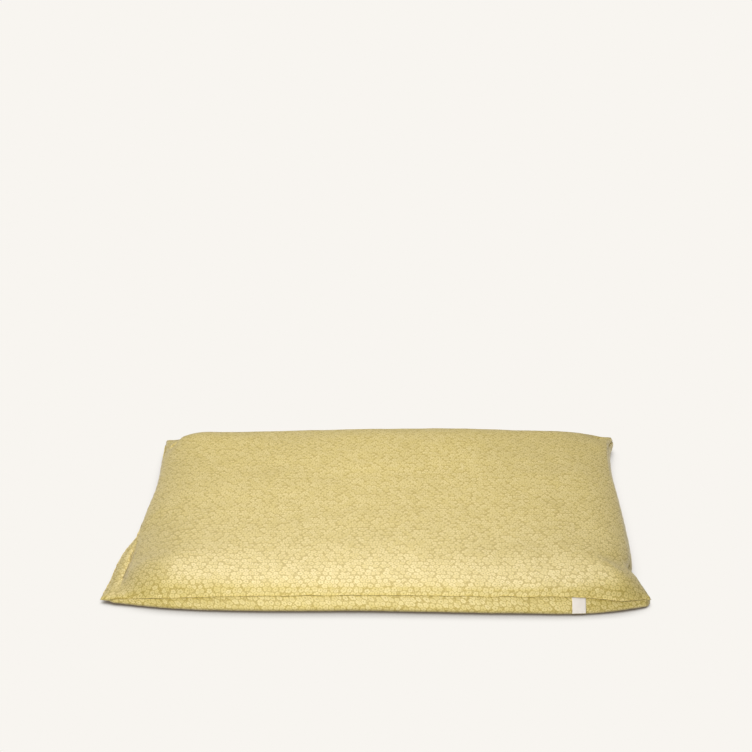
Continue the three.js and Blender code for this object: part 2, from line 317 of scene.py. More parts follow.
def upper_panel(s, t):
    """Points of the upper panel, in mm from the tables' own middle."""
    points, share = rolled_points(s, t, upper_roll)
    x, y, z = points[..., 0], points[..., 1], points[..., 2]
    loft = LOFT["plateau"] + LOFT["crown"] * 16 * s * (1 - s) * t * (1 - t) + swell_at(x, y)
    inside = np.sin(math.pi / 2 * np.minimum(seam_distance(s, t) / SKIN["width"], 1))
    low = z + SKIN["rise"] * inside
    points[..., 2] = (low + (loft - low) * share) * (1 - crease_at(x, y) * inside)
    return points


def lower_panel(s, t):
    """Points of the lower panel, in the same frame."""
    points, share = rolled_points(s, t, lower_roll)
    points[..., 2] *= 1 - share
    return points


def spread(steps, length):
    """Shares of a side at which the mesh has points, closer together near both seams."""
    near = np.array(NEAR_SEAM) / length
    even = np.linspace(near[-1], 1 - near[-1], steps + 3 - 2 * len(near))
    return np.concatenate([near[:-1], even, 1 - near[-2::-1]])


def cloth_grid(steps):
    """Shares s and t of every point of a panel's mesh."""
    s = spread(steps["across"], COVER["width"])
    t = spread(steps["along"], COVER["depth"])
    return np.meshgrid(s, t, indexing="ij")


def normals_of(points, outward):
    """Unit normals of a grid of points, on the side that outward (1 or -1) says."""
    along_s = np.gradient(points, axis=0)
    along_t = np.gradient(points, axis=1)
    normals = np.cross(along_s, along_t) * outward
    return normals / np.maximum(np.linalg.norm(normals, axis=-1, keepdims=True), TINY)


def lumps(x, y, rng):
    """A smooth uneven field between about -1 and 1, of waves that run in all directions."""
    field = np.zeros_like(x)
    for length in LUMPS["lengths"]:
        for _ in range(LUMPS["of_each"]):
            heading, phase = rng.uniform(0, math.pi), rng.uniform(0, 2 * math.pi)
            way = (x * math.cos(heading) + y * math.sin(heading)) / length
            field += np.sin(2 * math.pi * way + phase)
    usual = math.sqrt(LUMPS["of_each"] / 2 * len(LUMPS["lengths"]))
    return field / usual / LUMPS["peak"]


def seam_ripples(s, t, waves, rng):
    """Ripples that run square to the seam, so they vary along it alone, in mm."""
    places = from_seams(s, t)
    total, weights = np.zeros_like(s), np.zeros_like(s)
    for name, (distance, along) in places.items():
        size = COVER["width"] if name in ("front", "back") else COVER["depth"]
        ripple = np.zeros_like(s)
        for length in waves["lengths"]:
            bend, phase = rng.uniform(*BENDS), rng.uniform(0, 2 * math.pi)
            ripple += np.sin(2 * math.pi * along * size / length * bend + phase)
        weight = np.exp(-distance / waves["fade"])
        total += weight * ripple / math.sqrt(len(waves["lengths"]))
        weights += weight
    fading = np.exp(-seam_distance(s, t) / waves["fade"])
    return waves["height"] * total / np.maximum(weights, LEAST_WEIGHT) * fading


def softened(field, times):
    """The field after its neighbours have been averaged into it that many times."""
    for _ in range(times):
        for axis in (0, 1):
            before = np.concatenate([np.take(field, [0], axis), np.delete(field, -1, axis)], axis)
            after = np.concatenate([np.delete(field, 0, axis), np.take(field, [-1], axis)], axis)
            field = (before + 2 * field + after) / 4
    return field


def spline_weights(at, steps):
    """Weights of evenly spaced values for a smooth curve through them, at shares of their length."""
    place = at * steps
    first = np.minimum(np.floor(place), steps - 1).astype(int)
    f = place - first
    parts = ((1 - f) ** 3, 3 * f**3 - 6 * f**2 + 4, -3 * f**3 + 3 * f**2 + 3 * f + 1, f**3)
    weights = np.zeros((len(at), steps + 1))
    for offset, part in zip((-1, 0, 1, 2), parts):
        np.add.at(weights, (np.arange(len(at)), np.clip(first + offset, 0, steps)), part / 6)
    return weights


def blown_up(piece, held, cut):
    """Where a piece of cloth gets to when its filling presses on it. held: numbers of the points
    that lie on the floor. cut: its points on the flat cloth, which give the threads' lengths."""
    piece.shape_key_add(name="filled")
    flat = piece.shape_key_add(name="cut")
    flat.data.foreach_set("co", cut.ravel())
    flat.value = 0
    piece.vertex_groups.new(name="held").add(held, 1.0, "REPLACE")
    cloth = piece.modifiers.new("cloth", "CLOTH")
    cloth.point_cache.frame_start = 1
    cloth.point_cache.frame_end = FILLING["frames"]
    cloth.collision_settings.use_collision = False
    threads = cloth.settings
    threads.rest_shape_key = flat
    threads.vertex_group_mass = "held"
    threads.mass = FILLING["mass"]
    threads.quality = FILLING["quality"]
    threads.use_pressure = True
    threads.uniform_pressure_force = FILLING["pressure"]
    threads.effector_weights.gravity = 0
    threads.tension_stiffness = threads.compression_stiffness = FILLING["tension"]
    threads.shear_stiffness = FILLING["tension"] / 2
    threads.bending_stiffness = FILLING["bending"]
    threads.tension_damping = threads.compression_damping = FILLING["damping"]
    for frame_number in range(1, FILLING["frames"] + 1):
        bpy.context.scene.frame_set(frame_number)
    shown = piece.evaluated_get(bpy.context.evaluated_depsgraph_get()).data
    points = np.zeros(len(shown.vertices) * 3)
    shown.vertices.foreach_get("co", points)
    bpy.context.scene.frame_set(1)
    return points.reshape(-1, 3) / MM


def filling_unevenness(s, t, shift):
    """How far the simulated cloth is out or in at places of the upper and the lower panel, in mm."""
    steps = FILLING["across"], FILLING["along"]
    us, vs = np.meshgrid(*(np.linspace(0, 1, count + 1) for count in steps), indexing="ij")
    upper, lower = upper_panel(us, vs) + shift, lower_panel(us, vs) + shift
    rim = seam_distance(us, vs) < TINY
    mesh = sewn_mesh("cover_to_fill", upper, lower, us, vs)
    cover = bpy.data.objects.new("cover_to_fill", mesh)
    bpy.context.scene.collection.objects.link(cover)
    start = np.concatenate([upper.reshape(-1, 3), lower[~rim]])
    flat = np.stack([us * COVER["width"], vs * COVER["depth"], np.zeros_like(us)], axis=-1) * MM
    cut = np.concatenate([flat.reshape(-1, 3), flat[~rim]])
    held = np.flatnonzero(start[:, 2] < FILLING["held_below"]).tolist()
    moved = blown_up(cover, held, cut) - start
    bpy.data.objects.remove(cover)
    bpy.data.meshes.remove(mesh)

    under = moved[: us.size].reshape(upper.shape).copy()
    under[~rim] = moved[us.size :]
    panels_moved = ((upper, moved[: us.size].reshape(upper.shape), 1), (lower, under, -1))
    into_s, into_t = spline_weights(s[:, 0], steps[0]), spline_weights(t[0], steps[1])
    fields = []
    for points, way, outward in panels_moved:
        out = (way * normals_of(points, outward)).sum(axis=-1)
        uneven = softened(out, FILLING["smooth"]) - softened(out, FILLING["form"])
        uneven = np.clip(uneven * FILLING["kept"], -FILLING["cap"], FILLING["cap"])
        fields.append(into_s @ uneven @ into_t.T)
    return fields


def worked(points, s, t, outward, uneven, rng):
    """The panel moved along its normals: full beside the seam, uneven, with puckers and lumps."""
    distance = seam_distance(s, t)
    beside, within = (np.exp(-((distance / GROOVE[size]) ** 2)) for size in ("fade", "width"))
    lift = GROOVE["depth"] * (beside - within)
    open_cloth = 1 - within
    lift = lift + seam_ripples(s, t, PUCKERS, rng) * open_cloth
    inland = np.minimum(distance / LUMPS["margin"], 1)
    lift = lift + uneven * (1 - np.exp(-distance / GROOVE["fade"]))
    lift = lift + LUMPS["height"] * lumps(points[..., 0], points[..., 1], rng) * inland
    return points + lift[..., None] * normals_of(points, outward)


def on_floor(points):
    """The lower panel lies flat on the floor where it reaches it."""
    points[..., 2] = np.maximum(points[..., 2], 0)
    return points


def flattened(points):
    """Where a panel's points lie on its flat cloth, in mm from the panel's middle: the lengths along
    its two sets of threads, so that the print is neither stretched nor squeezed by the form."""
    places = []
    for axis in (0, 1):
        steps = np.linalg.norm(np.diff(points, axis=axis), axis=2)
        along = np.insert(np.cumsum(steps, axis=axis), 0, 0, axis=axis)
        whole = np.take(along, [-1], axis=axis)
        places.append(along - whole / 2)
    return np.stack(places, axis=-1)


# The print of the lower panel is another stretch of the same cloth.
LOWER_PRINT = np.array([1.137, 0.0])


def quads(at):
    """The cells of a grid of point numbers, each with its four corners in turn."""
    corners = (at[:-1, :-1], at[1:, :-1], at[1:, 1:], at[:-1, 1:])
    return np.stack([c.ravel() for c in corners], axis=-1)


def sewn_mesh(name, upper, lower, s, t):
    """One closed mesh of both panels that share their rim, with the cloth's own flat places."""
    rows, columns = upper.shape[0] - 1, upper.shape[1] - 1
    count = (rows + 1) * (columns + 1)
    index = np.arange(count).reshape(rows + 1, columns + 1)
    rim = np.zeros_like(index, bool)
    rim[0, :] = rim[-1, :] = rim[:, 0] = rim[:, -1] = True
    under = index.copy()
    under[~rim] = count + np.arange((~rim).sum())
    points = np.concatenate([upper.reshape(-1, 3), lower[~rim]])
    faces = np.concatenate([quads(index), quads(under)[:, ::-1]])
    flat_upper = flattened(upper).reshape(-1, 2)[quads(index)] * MM
    flat_lower = flattened(lower).reshape(-1, 2)[quads(index)[:, ::-1]] * MM + LOWER_PRINT
    flat_corners = np.concatenate([flat_upper, flat_lower])

    mesh = bpy.data.meshes.new(name)
    mesh.from_pydata((points * MM).tolist(), [], faces.tolist())
    cloth = mesh.uv_layers.new(name="cloth")
    cloth.data.foreach_set("uv", flat_corners.reshape(-1))
    mesh.shade_smooth()
    mesh.update()
    distance = seam_distance(s, t)
    values = np.concatenate([distance.ravel(), distance[~rim]]) * MM
    mesh.attributes.new("seam_distance", "FLOAT", "POINT").data.foreach_set("value", values)
    return mesh


def placed(name, mesh):
    """A piece of the cushion in the scene, on its one body."""
    piece = bpy.data.objects.new(name, mesh)
    bpy.context.scene.collection.objects.link(piece)
    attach(piece, "root")
    return piece


def panels(steps, shift):
    """Both panels in the row frame, in mm, with their groove, puckers and lumps."""
    rng = np.random.default_rng(SEED)
    s, t = cloth_grid(steps)
    uneven_upper, uneven_lower = filling_unevenness(s, t, shift)
    sway = seam_ripples(s, t, SWAY, rng)[..., None] * (0, 0, 1)
    upper = worked(upper_panel(s, t) + sway, s, t, 1, uneven_upper, rng)
    lower = worked(lower_panel(s, t) + sway, s, t, -1, uneven_lower, rng)
    rim = seam_distance(s, t) < TINY
    middle = (upper[rim] + lower[rim]) / 2
    upper[rim] = middle
    lower[rim] = middle
    return on_floor(upper + shift), on_floor(lower + shift), s, t


def row_shift():
    """From the tables' own middle to the row frame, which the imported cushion's box gives."""
    low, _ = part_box("pad")
    s, t = cloth_grid(FINE)
    return np.array([0, low.y / MM - lower_panel(s, t)[..., 1].min(), 0])


def make_pad(shift):
    """The filled cover and its thread. The lower panel's points are given back for the label."""
    upper, lower, s, t = panels(FINE, shift)
    pad = placed("filled_cover", sewn_mesh("filled_cover", upper, lower, s, t))
    pad.data.materials.append(printed_cotton())
    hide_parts("pad")
    make_thread(upper)
    return lower, s, t


def rim_line(grid):
    """The seam loop's points, once round from the front left ear."""
    rows, columns = grid.shape[0] - 1, grid.shape[1] - 1
    loop = [(i, 0) for i in range(rows)]
    loop += [(rows, j) for j in range(columns)]
    loop += [(i, columns) for i in range(rows, 0, -1)]
    loop += [(0, j) for j in range(columns, 0, -1)]
    return np.array([grid[place] for place in loop])


def spaced_places(line, pitch):
    """Points and directions along a closed line, as near to pitch apart as fits it evenly."""
    closed = np.concatenate([line, line[:1]])
    lengths = np.concatenate([[0], np.cumsum(np.linalg.norm(np.diff(closed, axis=0), axis=1))])
    at = np.arange(round(lengths[-1] / pitch)) / round(lengths[-1] / pitch) * lengths[-1]

    def point(place):
        place = place % lengths[-1]
        return np.stack([np.interp(place, lengths, closed[:, k]) for k in range(3)], axis=-1)

    ways = point(at + pitch / 4) - point(at - pitch / 4)
    return point(at), ways / np.linalg.norm(ways, axis=1, keepdims=True)


# Rings of one stitch: how far along it they are and how thick, as shares of its half sizes.
STITCH_RINGS = ((-1.0, 0.35), (-0.8, 0.8), (-0.35, 1.0), (0.35, 1.0), (0.8, 0.8), (1.0, 0.35))
STITCH_SIDES = 6


def stitch_body(middle, way, outward):
    """One stitch of thread along the seam, thickest in its middle."""
    side = np.cross(way, outward)
    turns = np.arange(STITCH_SIDES) / STITCH_SIDES * 2 * math.pi
    points = []
    for along, thick in STITCH_RINGS:
        centre = middle + way * along * STITCH["length"] / 2 + outward * STITCH["out"] * (1 - along**2)
        for turn in turns:
            ray = math.cos(turn) * side + math.sin(turn) * outward
            points.append(centre + ray * thick * STITCH["radius"])
    last = (len(STITCH_RINGS) - 1) * STITCH_SIDES
    faces = [tuple(reversed(range(STITCH_SIDES))), tuple(range(last, last + STITCH_SIDES))]
    for here in range(0, last, STITCH_SIDES):
        there = here + STITCH_SIDES
        for k in range(STITCH_SIDES):
            after = (k + 1) % STITCH_SIDES
            faces.append((here + k, here + after, there + after, there + k))
    return points, faces


def make_thread(upper):
    """The stitches that show at the bottom of the seam groove, all round the cushion."""
    middles, ways = spaced_places(rim_line(upper), STITCH["pitch"])
    flat = np.stack([middles[:, 0], middles[:, 1], np.zeros(len(middles))], axis=1)
    outward = np.cross(ways, (0, 0, 1.0))
    outward /= np.linalg.norm(outward, axis=1, keepdims=True)
    outward *= np.sign((outward * flat).sum(axis=1, keepdims=True))
    points, faces = [], []
    for middle, way, out in zip(middles, ways, outward):
        body, sides = stitch_body(middle, way, out)
        faces += [tuple(len(points) + k for k in side) for side in sides]
        points += body
    mesh = bpy.data.meshes.new("seam_thread")
    mesh.from_pydata([tuple(p * MM) for p in points], [], faces)
    mesh.shade_smooth()
    thread = placed("seam_thread", mesh)
    thread.data.materials.append(sewing_thread())


# The tape of the label in mm: its thickness, how far it lies off the cushion, the gap between its
# layers, how much of both of these is left at the seam, the least length that hangs free, how far
# it goes into the seam and from where it spans the groove, and the steps of its mesh.
TAPE = {
    "thickness": 0.32,
    "off": 0.2,
    "between": 0.16,
    "pinch": 0.4,
    "hangs": 1.0,
    "tuck": 0.6,
    "spans": 3.0,
    "across": 16,
    "over": 14,
    "drop": 8,
    "fold": 8,
}


def belly_line(lower, s, t, share):
    """(x, y, z) of the lower panel straight down from the front seam, to where it is furthest out."""
    count = lower.shape[1] // 4
    place = np.interp(share, s[:, 0], lower[:, 0, 0])
    rows = [lower[:, j] for j in range(count)]
    line = np.array([[np.interp(place, row[:, 0], row[:, k]) for k in range(3)] for row in rows])
    depth = t[0, :count] * COVER["depth"]
    line = line[(depth == 0) | (depth > TAPE["spans"])]
    furthest = line[:, 1].min()
    line = line[: np.argmin(line[:, 1]) + 1]
    line = line[line[:, 2] > LABEL["lift"] + TAPE["hangs"]]
    line[-1, 1] = furthest
    lengths = np.insert(np.cumsum(np.linalg.norm(np.diff(line, axis=0), axis=1)), 0, 0)
    even = np.linspace(0, lengths[-1], TAPE["over"] + 1)
    return np.stack([np.interp(even, lengths, line[:, k]) for k in range(3)], axis=-1)


def label_path(line):
    """The middle of the tape's thickness in one plane across the seam: out of the seam, over the
    belly, down, round the fold and back up behind, as (y, z) in mm."""
    over = line[:, 1:]
    ways = np.gradient(over, axis=0)
    outward = np.stack([ways[:, 1], -ways[:, 0]], axis=-1)
    outward /= np.linalg.norm(outward, axis=1, keepdims=True)
    apart = TAPE["pinch"] + (1 - TAPE["pinch"]) * np.sin(np.linspace(0, math.pi / 2, len(over)))
    near = TAPE["off"] + TAPE["thickness"] / 2
    far = near + TAPE["thickness"] + TAPE["between"]
    bend = (far - near) / 2
    low = LABEL["lift"] + bend

    def layer(offset):
        path = over + outward * (offset * apart)[:, None]
        sewn_in = path[0] + (TAPE["tuck"], 0)
        drops = np.linspace(0, 1, TAPE["drop"] + 1)[1:]
        end_y, end_z = path[-1]
        hanging = [(end_y, end_z + (low - end_z) * d) for d in drops]
        return [tuple(sewn_in)] + [tuple(p) for p in path] + hanging

    front, behind = layer(far), layer(near)
    middle_y = (front[-1][0] + behind[-1][0]) / 2
    turns = np.linspace(0, math.pi, TAPE["fold"] + 1)[1:-1]
    fold = [(middle_y - bend * math.cos(a), low - bend * math.sin(a)) for a in turns]
    return front + fold + behind[::-1]


def make_label(lower, s, t):
    """A strip of tape folded in half, its two ends sewn into the seam, bare on both sides."""
    half = LABEL["width"] / COVER["width"] / 2
    shares = np.linspace(LABEL["along"] - half, LABEL["along"] + half, TAPE["across"] + 1)
    columns = []
    for share in shares:
        line = belly_line(lower, s, t, share)
        columns.append([(line[0, 0], y, z) for y, z in label_path(line)])
    middle = np.array(columns)
    lengths = np.linalg.norm(np.diff(middle, axis=1), axis=2).sum(axis=1)
    normals = normals_of(middle, 1)
    half_thick = normals * TAPE["thickness"] / 2
    outer, inner = middle + half_thick, middle - half_thick
    rows, count = middle.shape[0] - 1, middle.shape[1]
    both = np.concatenate([outer.reshape(-1, 3), inner.reshape(-1, 3)])
    index = np.arange(outer.shape[0] * count).reshape(outer.shape[:2])
    under = index + index.size
    faces = quads(index).tolist() + quads(under)[:, ::-1].tolist()
    rim, below = rim_line(index), rim_line(under)
    for k in range(len(rim)):
        after = (k + 1) % len(rim)
        faces.append((rim[after], rim[k], below[k], below[after]))
    mesh = bpy.data.meshes.new("folded_label")
    mesh.from_pydata((both * MM).tolist(), [], [tuple(int(v) for v in face) for face in faces])
    mesh.update()
    shares_down = np.arange(count) / (count - 1)
    across, down = np.meshgrid(np.arange(rows + 1) / rows, shares_down, indexing="ij")
    flat = np.stack([across * LABEL["width"], down * lengths.mean()], axis=-1).reshape(-1, 2) * MM
    tape = mesh.uv_layers.new(name="cloth")
    corners = [flat[loop.vertex_index % index.size] for loop in mesh.loops]
    tape.data.foreach_set("uv", np.array(corners).ravel())
    mesh.shade_smooth()
    label = placed("folded_label", mesh)
    label.data.materials.append(label_tape())
    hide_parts("label")


class Graph:
    """Short forms for building a material's nodes."""

    def __init__(self, name):
        self.material = bpy.data.materials.new(name)
        self.material.use_nodes = True
        self.nodes = self.material.node_tree.nodes
        self.links = self.material.node_tree.links
        self.nodes.clear()
        self.surface = self.add("ShaderNodeBsdfPrincipled")
        output = self.add("ShaderNodeOutputMaterial")
        self.links.new(self.surface.outputs["BSDF"], output.inputs["Surface"])

    def add(self, kind, **settings):
        node = self.nodes.new(kind)
        for key, value in settings.items():
            setattr(node, key, value)
        return node

    def feed(self, socket, value):
        if isinstance(value, bpy.types.NodeSocket):
            self.links.new(value, socket)
        else:
            socket.default_value = value

    def wired(self, node, *values):
        for socket, value in zip(node.inputs, values):
            self.feed(socket, value)
        return node.outputs

    def math(self, operation, *values):
        return self.wired(self.add("ShaderNodeMath", operation=operation), *values)[0]

    def vector(self, operation, *values):
        outputs = self.wired(self.add("ShaderNodeVectorMath", operation=operation), *values)
        return outputs["Value" if operation == "LENGTH" else "Vector"]

    def scaled(self, vector, scale):
        node = self.add("ShaderNodeVectorMath", operation="SCALE")
        node.inputs["Scale"].default_value = scale
        return self.wired(node, vector)[0]

    def split(self, vector):
        return self.wired(self.add("ShaderNodeSeparateXYZ"), vector)

    def join(self, *parts):
        return self.wired(self.add("ShaderNodeCombineXYZ"), *parts)[0]

    def step(self, value, start, end):
        """0 below start, 1 above end, and a smooth rise between them."""
        node = self.add("ShaderNodeMapRange", interpolation_type="SMOOTHSTEP")
        return self.wired(node, value, start, end)[0]

    def fall(self, value, start, end):
        """1 below start, 0 above end, and a smooth fall between them."""
        return self.math("SUBTRACT", 1.0, self.step(value, start, end))

    def between(self, value, low, high):
        """value from 0 to 1, made to run from low to high."""
        return self.wired(self.add("ShaderNodeMapRange"), value, 0.0, 1.0, low, high)[0]

    def noise(self, vector, scale, detail=2.0, dimensions="2D"):
        node = self.add("ShaderNodeTexNoise", noise_dimensions=dimensions)
        self.feed(node.inputs["Vector"], vector)
        node.inputs["Scale"].default_value = scale
        node.inputs["Detail"].default_value = detail
        return node

    def mix(self, share, first, second, kind="Color", **settings):
        """The first colour or vector where share is 0, the second where it is 1."""
        data_type = "RGBA" if kind == "Color" else "VECTOR"
        node = self.add("ShaderNodeMix", data_type=data_type, **settings)
        for name, given in (("Factor_Float", share), (f"A_{kind}", first), (f"B_{kind}", second)):
            self.feed(next(i for i in node.inputs if i.identifier == name), given)
        return next(o for o in node.outputs if o.identifier == f"Result_{kind}")

    def bump(self, height, distance, strength, under=None):
        node = self.add("ShaderNodeBump")
        self.feed(node.inputs["Height"], height)
        node.inputs["Distance"].default_value = distance
        node.inputs["Strength"].default_value = strength
        if under is not None:
            self.feed(node.inputs["Normal"], under)
        return node.outputs["Normal"]


def colour(red, green, blue):
    """A display colour from 0 to 255 as linear light, with its alpha."""
    shares = [c / 255 for c in (red, green, blue)]
    return tuple(c / 12.92 if c <= 0.04045 else ((c + 0.055) / 1.055) ** 2.4 for c in shares) + (1,)


# The print: small round five-petal blossoms, closely packed, each turned its own way. scatter: how
# far each is off its place in the lattice, in shares of the spacing. wander: how far the lattice
# drifts, in metres, and in noise of what scale. dots: how many more dots than blossoms in a length.
PRINT = {
    "spacing": 0.0097,
    "scatter": 0.235,
    "wander": 0.007,
    "wander_scale": 30.0,
    "dots": 3.2,
    "petal": colour(243, 225, 149),
    "petal_other": colour(231, 212, 126),
    "ground": colour(193, 171, 78),
    "line": colour(184, 162, 70),
}

# One blossom. Radii and gaps are shares of the spacing. A lobe is 0 in the notch between two petals
# and 1 in the middle of a petal. Pairs are where a soft edge starts and ends.
BLOSSOM = {
    "sizes": (0.40, 0.55),
    "roundness": 0.6,
    "notched": (0.78, 1.0),
    "edge": (-0.015, 0.02),
    "gap": (0.05, 0.12),
    "notch": (0.06, 0.24),
    "notch_from": (0.12, 0.2),
    "eye": (0.09, 0.15),
    "stamen": (0.9, 0.985),
    "stamen_from": (0.15, 0.18),
    "stamen_to": (0.25, 0.28),
    "dot": (0.2, 0.3),
    "dot_clear": (0.05, 0.1),
}

# How strongly the print's lines are inked. The eyes differ from one blossom to the next.
INK = {"notch": 0.8, "eye": (0.35, 1.0), "stamen": 0.5}

WEAVE = {"thread": 0.00045, "depth": 0.00006, "strength": 0.5, "shade": 0.03}
SLUBS = {"scale": 900.0, "shades": (0.96, 1.04), "height": 0.8, "roughness": (0.5, 0.6)}
FADING = {"scale": 5.5, "shades": (0.955, 1.045)}
RUBBED = {"from_seam": (0.001, 0.012), "scale": 60.0, "shade": 0.08}
CRUMPLE = {"scale": 85.0, "depth": 0.0006, "strength": 0.35}
# Painted shade in the cotton's colour: darker where the floor or the cloth itself stands within reach
# over it, as in the seam groove, the creases and the belly's underside.
PAINTED_HOLLOW_SHADE = {"reach": 0.03, "range": (0.25, 0.8), "darkest": 0.7}
COTTON = {
    "petal_roughness": -0.04,
    "specular": 0.95,
    "sheen": 0.42,
    "sheen_roughness": 0.5,
    "sheen_tint": colour(255, 245, 220),
}
THREAD = {
    "light": colour(150, 132, 70),
    "dark": colour(112, 98, 48),
    "twist": 2500.0,
    "depth": 0.00005,
    "roughness": (0.6, 0.8),
    "specular": 0.3,
}

# The label's tape: its rib and warp, its firm edge and its soft shades.
RIB = {
    "pitch": 0.0004,
    "warp": 0.0003,
    "heights": (0.6, 0.4, 1.5),
    "depth": 0.00004,
    "firm_edge": (0.0006, 0.0012),
    "edge_share": 0.5,
    "soft": 160.0,
    "roughness": (0.55, 0.7),
    "sheen": 0.1,
    "light": colour(252, 247, 239),
    "shade": colour(247, 240, 231),
    "edge": colour(238, 229, 219),
}
BUMP_STRENGTH = 0.6

# The rows of a triangular lattice are this far apart, in shares of its spacing.
ROW = math.sqrt(3) / 2
FAR = 10.0


def nearest_blossom(graph, place):
    """From a place to the nearest blossom's middle, its random numbers, and how much nearer it is
    than the next one. The middles are a triangular lattice, each scattered a little."""
    parts = graph.split(place)
    row = graph.math("DIVIDE", parts["Y"], ROW)
    column = graph.math("SUBTRACT", parts["X"], graph.math("MULTIPLY", row, 0.5))
    corner = graph.vector("FLOOR", graph.join(column, row, 0.0))
    best = None
    for step in ((0, 0), (1, 0), (0, 1), (1, 1)):
        cell = graph.vector("ADD", corner, (*step, 0))
        chance = graph.add("ShaderNodeTexWhiteNoise", noise_dimensions="2D")
        graph.feed(chance.inputs["Vector"], cell)
        at = graph.split(cell)
        x = graph.math("MULTIPLY_ADD", at["Y"], 0.5, at["X"])
        lattice = graph.join(x, graph.math("MULTIPLY", at["Y"], ROW), 0.0)
        off = graph.vector("SUBTRACT", chance.outputs["Color"], (0.5, 0.5, 0.5))
        off = graph.vector("MULTIPLY", off, (2 * PRINT["scatter"], 2 * PRINT["scatter"], 0))
        local = graph.vector("SUBTRACT", place, graph.vector("ADD", lattice, off))
        away = graph.vector("LENGTH", local)
        if best is None:
            best = {"local": local, "chance": chance.outputs["Color"], "away": away, "next": FAR}
            continue
        nearer = graph.math("LESS_THAN", away, best["away"])
        further = graph.math("MAXIMUM", away, best["away"])
        best = {
            "local": graph.mix(nearer, best["local"], local, kind="Vector"),
            "chance": graph.mix(nearer, best["chance"], chance.outputs["Color"], kind="Vector"),
            "next": graph.math("MINIMUM", best["next"], further),
            "away": graph.math("MINIMUM", away, best["away"]),
        }
    return best


def blossoms(graph, cloth):
    """Masks of the print at places on the cloth: petals, their dark lines, and a tint for each."""
    drift = graph.noise(cloth, PRINT["wander_scale"])
    offset = graph.vector("SUBTRACT", drift.outputs["Color"], (0.5, 0.5, 0.5))
    offset = graph.vector("MULTIPLY", offset, (PRINT["wander"], PRINT["wander"], 0.0))
    place = graph.scaled(graph.vector("ADD", cloth, offset), 1 / PRINT["spacing"])
    nearest = nearest_blossom(graph, place)

    local, own = graph.split(nearest["local"]), graph.split(nearest["chance"])
    turn = graph.math("MULTIPLY", own["Z"], 2 * math.pi)
    angle = graph.math("ADD", graph.math("ARCTAN2", local["Y"], local["X"]), turn)
    lobe = graph.math("ABSOLUTE", graph.math("COSINE", graph.math("MULTIPLY", angle, 2.5)))
    radius = nearest["away"]

    size = graph.between(own["X"], *BLOSSOM["sizes"])
    rounded = graph.math("POWER", lobe, BLOSSOM["roundness"])
    outline = graph.math("MULTIPLY", size, graph.between(rounded, *BLOSSOM["notched"]))
    inside = graph.step(graph.math("SUBTRACT", outline, radius), *BLOSSOM["edge"])
    apart = graph.step(graph.math("SUBTRACT", nearest["next"], radius), *BLOSSOM["gap"])
    petals = graph.math("MULTIPLY", inside, apart)

    notch = graph.fall(lobe, *BLOSSOM["notch"])
    notch = graph.math("MULTIPLY", notch, graph.step(radius, *BLOSSOM["notch_from"]))
    eye = graph.fall(radius, *BLOSSOM["eye"])
    stamen = graph.step(lobe, *BLOSSOM["stamen"])
    stamen = graph.math("MULTIPLY", stamen, graph.step(radius, *BLOSSOM["stamen_from"]))
    stamen = graph.math("MULTIPLY", stamen, graph.fall(radius, *BLOSSOM["stamen_to"]))
    inked = graph.between(graph.math("FRACT", graph.math("MULTIPLY", own["X"], 7.0)), *INK["eye"])
    notch_ink = graph.math("MULTIPLY", notch, INK["notch"])
    lines = graph.math("MAXIMUM", notch_ink, graph.math("MULTIPLY", eye, inked))
    lines = graph.math("MAXIMUM", lines, graph.math("MULTIPLY", stamen, INK["stamen"]))

    dots = graph.add("ShaderNodeTexVoronoi", voronoi_dimensions="2D")
    graph.feed(dots.inputs["Vector"], place)
    dots.inputs["Scale"].default_value = PRINT["dots"]
    dot = graph.fall(dots.outputs["Distance"], *BLOSSOM["dot"])
    clear = graph.step(graph.math("SUBTRACT", radius, outline), *BLOSSOM["dot_clear"])
    petals = graph.math("MAXIMUM", petals, graph.math("MULTIPLY", dot, clear))
    return petals, lines, own["Y"]


def weave_height(graph, cloth):
    """A plain weave: warp and weft threads over and under each other."""
    parts = graph.split(graph.scaled(cloth, math.pi / WEAVE["thread"]))
    warp, weft = (graph.math("SINE", parts[axis]) for axis in "XY")
    return graph.math("MULTIPLY", warp, weft)


def cloth_places(graph):
    """Where each point lies on its flat cloth, in metres."""
    return graph.add("ShaderNodeUVMap", uv_map="cloth").outputs["UV"]


